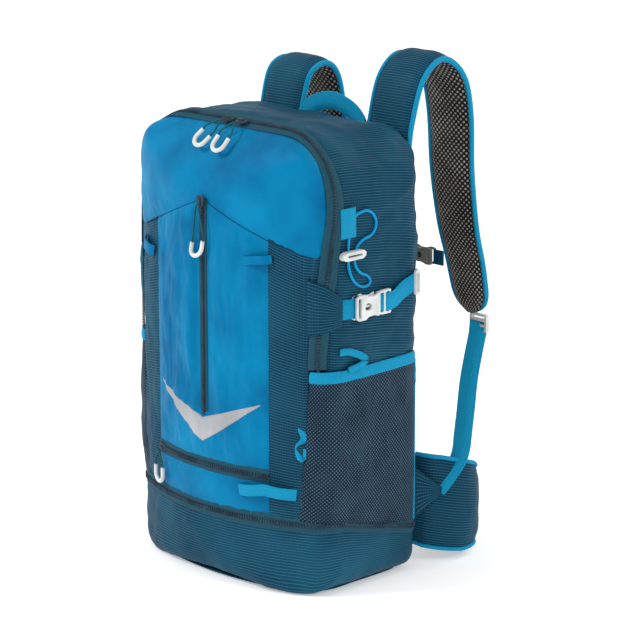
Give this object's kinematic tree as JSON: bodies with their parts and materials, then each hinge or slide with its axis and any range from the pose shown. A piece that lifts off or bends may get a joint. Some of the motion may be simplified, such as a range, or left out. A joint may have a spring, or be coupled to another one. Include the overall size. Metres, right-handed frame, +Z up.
{
  "type": "daypack",
  "caption": "Hiking daypack with zipped lid, front pocket, base compartment, mesh side pockets, shoulder straps and hip wings.",
  "frame": {"origin": "middle of the flat base, under the middle of the bag", "axes": "+Z up, -Y the front with the zips, +Y the wearer side, +X the side with the side buckle"},
  "size_m": [0.299, 0.3335, 0.5299],
  "materials": {
    "cloth_blue": "coated woven polyester, satin",
    "cloth_navy": "ripstop polyester, satin",
    "zip_tape": "zip tape and coil",
    "lining": "plain lining",
    "board": "plastic sheet",
    "side_mesh": "open mesh",
    "back_mesh": "spacer mesh over foam",
    "webbing_blue": "woven webbing",
    "webbing_navy": "woven webbing",
    "cord_blue": "elastic cord",
    "plastic_pale": "moulded acetal",
    "plastic_grey": "moulded acetal",
    "slider_metal": "painted zinc",
    "reflective": "retroreflective film"
  },
  "bodies": {
    "root": {"back_pad": "back_mesh", "back_panel": "cloth_navy", "base_compartment": "cloth_navy", "base_zip_tape": "zip_tape", "buckle_socket_left": "plastic_pale", "buckle_socket_right": "plastic_pale", "compression_wings": "cloth_navy", "floor_divider": "lining", "frame_sheet": "board", "front_band_left": "cloth_navy", "front_band_right": "cloth_navy", "front_pocket_left": "cloth_blue", "front_pocket_right": "cloth_blue", "front_webbings": "webbing_blue", "front_zip_tape": "zip_tape", "hydration_sleeve": "lining", "inner_front_wall": "lining", "lower_front_strip": "cloth_blue", "lower_webbings": "webbing_blue", "main_zip_tape": "zip_tape", "mesh_pocket_hems": "webbing_blue", "mesh_pockets": "side_mesh", "pocket_zip_tape": "zip_tape", "pole_bungee_left": "cord_blue", "pole_bungee_right": "cord_blue", "pole_tabs": "webbing_blue", "rear_webbing_left": "webbing_blue", "rear_webbing_right": "webbing_blue", "reflective_chevron": "reflective", "side_panel_left": "cloth_navy", "side_panel_right": "cloth_navy", "top_panel": "cloth_navy", "tri_glides": "plastic_pale"},
    "lid": {"upper_front_panel": "cloth_blue"},
    "lid_slider_left": {"lid_slider_left": "slider_metal"},
    "lid_slider_right": {"lid_slider_right": "slider_metal"},
    "lid_pull_left": {"lid_pull_left": "plastic_pale"},
    "lid_pull_right": {"lid_pull_right": "plastic_pale"},
    "front_slider": {"front_slider": "slider_metal"},
    "front_pull": {"front_pull": "plastic_pale"},
    "pocket_slider": {"pocket_slider": "slider_metal"},
    "pocket_pull": {"pocket_pull": "plastic_pale"},
    "plug_left": {"buckle_plug_left": "plastic_pale"},
    "plug_right": {"buckle_plug_right": "plastic_pale"},
    "cord_lock_left": {"cord_lock_left": "plastic_pale"},
    "cord_lock_right": {"cord_lock_right": "plastic_pale"},
    "harness": {"shoulder_strap_left": "cloth_navy", "shoulder_strap_right": "cloth_navy", "ladder_locks": "plastic_pale", "sternum_webbing_left": "webbing_navy", "sternum_webbing_right": "webbing_navy", "sternum_socket": "plastic_grey"},
    "sternum_plug": {"sternum_plug": "plastic_grey"},
    "hip_left": {"hip_wing_left": "cloth_navy", "hip_webbing_left": "webbing_navy", "hip_buckle_left": "plastic_grey"},
    "hip_right": {"hip_wing_right": "cloth_navy", "hip_webbing_right": "webbing_navy", "hip_buckle_right": "plastic_grey"},
    "handle": {"haul_handle": "webbing_blue"}
  },
  "joints": [
    {"name": "lid_hinge", "type": "hinge", "parent": "root", "child": "lid", "pos_m": [0, -0.0935, 0.408], "axis": [1, 0, 0], "range_deg": [0, 70]},
    {"name": "lid_slider_left_slide", "type": "slide", "parent": "lid", "child": "lid_slider_left", "axis": [-1, 0, 0], "range_m": [0, 0.05]},
    {"name": "lid_slider_right_slide", "type": "slide", "parent": "lid", "child": "lid_slider_right", "axis": [1, 0, 0], "range_m": [0, 0.05]},
    {"name": "lid_pull_left_swing", "type": "hinge", "parent": "lid_slider_left", "child": "lid_pull_left", "pos_m": [-0.006, -0.064, 0.465], "axis": [1, 0, 0], "range_deg": [-75, 0]},
    {"name": "lid_pull_right_swing", "type": "hinge", "parent": "lid_slider_right", "child": "lid_pull_right", "pos_m": [0.014, -0.064, 0.465], "axis": [1, 0, 0], "range_deg": [-75, 0]},
    {"name": "front_slider_slide", "type": "slide", "parent": "root", "child": "front_slider", "axis": [0, 0, 1], "range_m": [-0.2, 0]},
    {"name": "front_pull_swing", "type": "hinge", "parent": "front_slider", "child": "front_pull", "pos_m": [0, -0.09975, 0.389], "axis": [1, 0, 0], "range_deg": [-80, 0]},
    {"name": "pocket_slider_slide", "type": "hinge", "parent": "root", "child": "pocket_slider", "pos_m": [0, 0.17064, 0.12], "axis": [0, 0, 1], "range_deg": [0, 31]},
    {"name": "pocket_pull_swing", "type": "hinge", "parent": "pocket_slider", "child": "pocket_pull", "pos_m": [-0.07634, -0.08875, 0.116], "axis": [0.9593, -0.2823, 0], "range_deg": [-80, 0]},
    {"name": "plug_left_release", "type": "slide", "parent": "root", "child": "plug_left", "axis": [0, 1, 0], "range_m": [0, 0.03], "deforming": ["rear_webbing_left"]},
    {"name": "cord_lock_left_slide", "type": "slide", "parent": "root", "child": "cord_lock_left", "axis": [0, 0, 1], "range_m": [-0.008, 0]},
    {"name": "plug_right_release", "type": "slide", "parent": "root", "child": "plug_right", "axis": [0, 1, 0], "range_m": [0, 0.03], "deforming": ["rear_webbing_right"]},
    {"name": "cord_lock_right_slide", "type": "slide", "parent": "root", "child": "cord_lock_right", "axis": [0, 0, 1], "range_m": [-0.008, 0]},
    {"name": "harness_swing", "type": "hinge", "parent": "root", "child": "harness", "pos_m": [0, 0.094, 0.45], "axis": [1, 0, 0], "range_deg": [-8, 4], "deforming": ["lower_webbings"]},
    {"name": "sternum_release", "type": "slide", "parent": "harness", "child": "sternum_plug", "axis": [-1, 0, 0], "range_m": [0, 0.02], "deforming": ["sternum_webbing_left"]},
    {"name": "hip_left_swing", "type": "hinge", "parent": "root", "child": "hip_left", "pos_m": [-0.11, 0.094, 0.07], "axis": [0, 0, 1], "range_deg": [-8, 25]},
    {"name": "hip_right_swing", "type": "hinge", "parent": "root", "child": "hip_right", "pos_m": [0.11, 0.094, 0.07], "axis": [0, 0, 1], "range_deg": [-25, 8]},
    {"name": "handle_swing", "type": "hinge", "parent": "root", "child": "handle", "pos_m": [0, 0.0899, 0.437], "axis": [1, 0, 0], "range_deg": [-60, 0]}
  ]
}
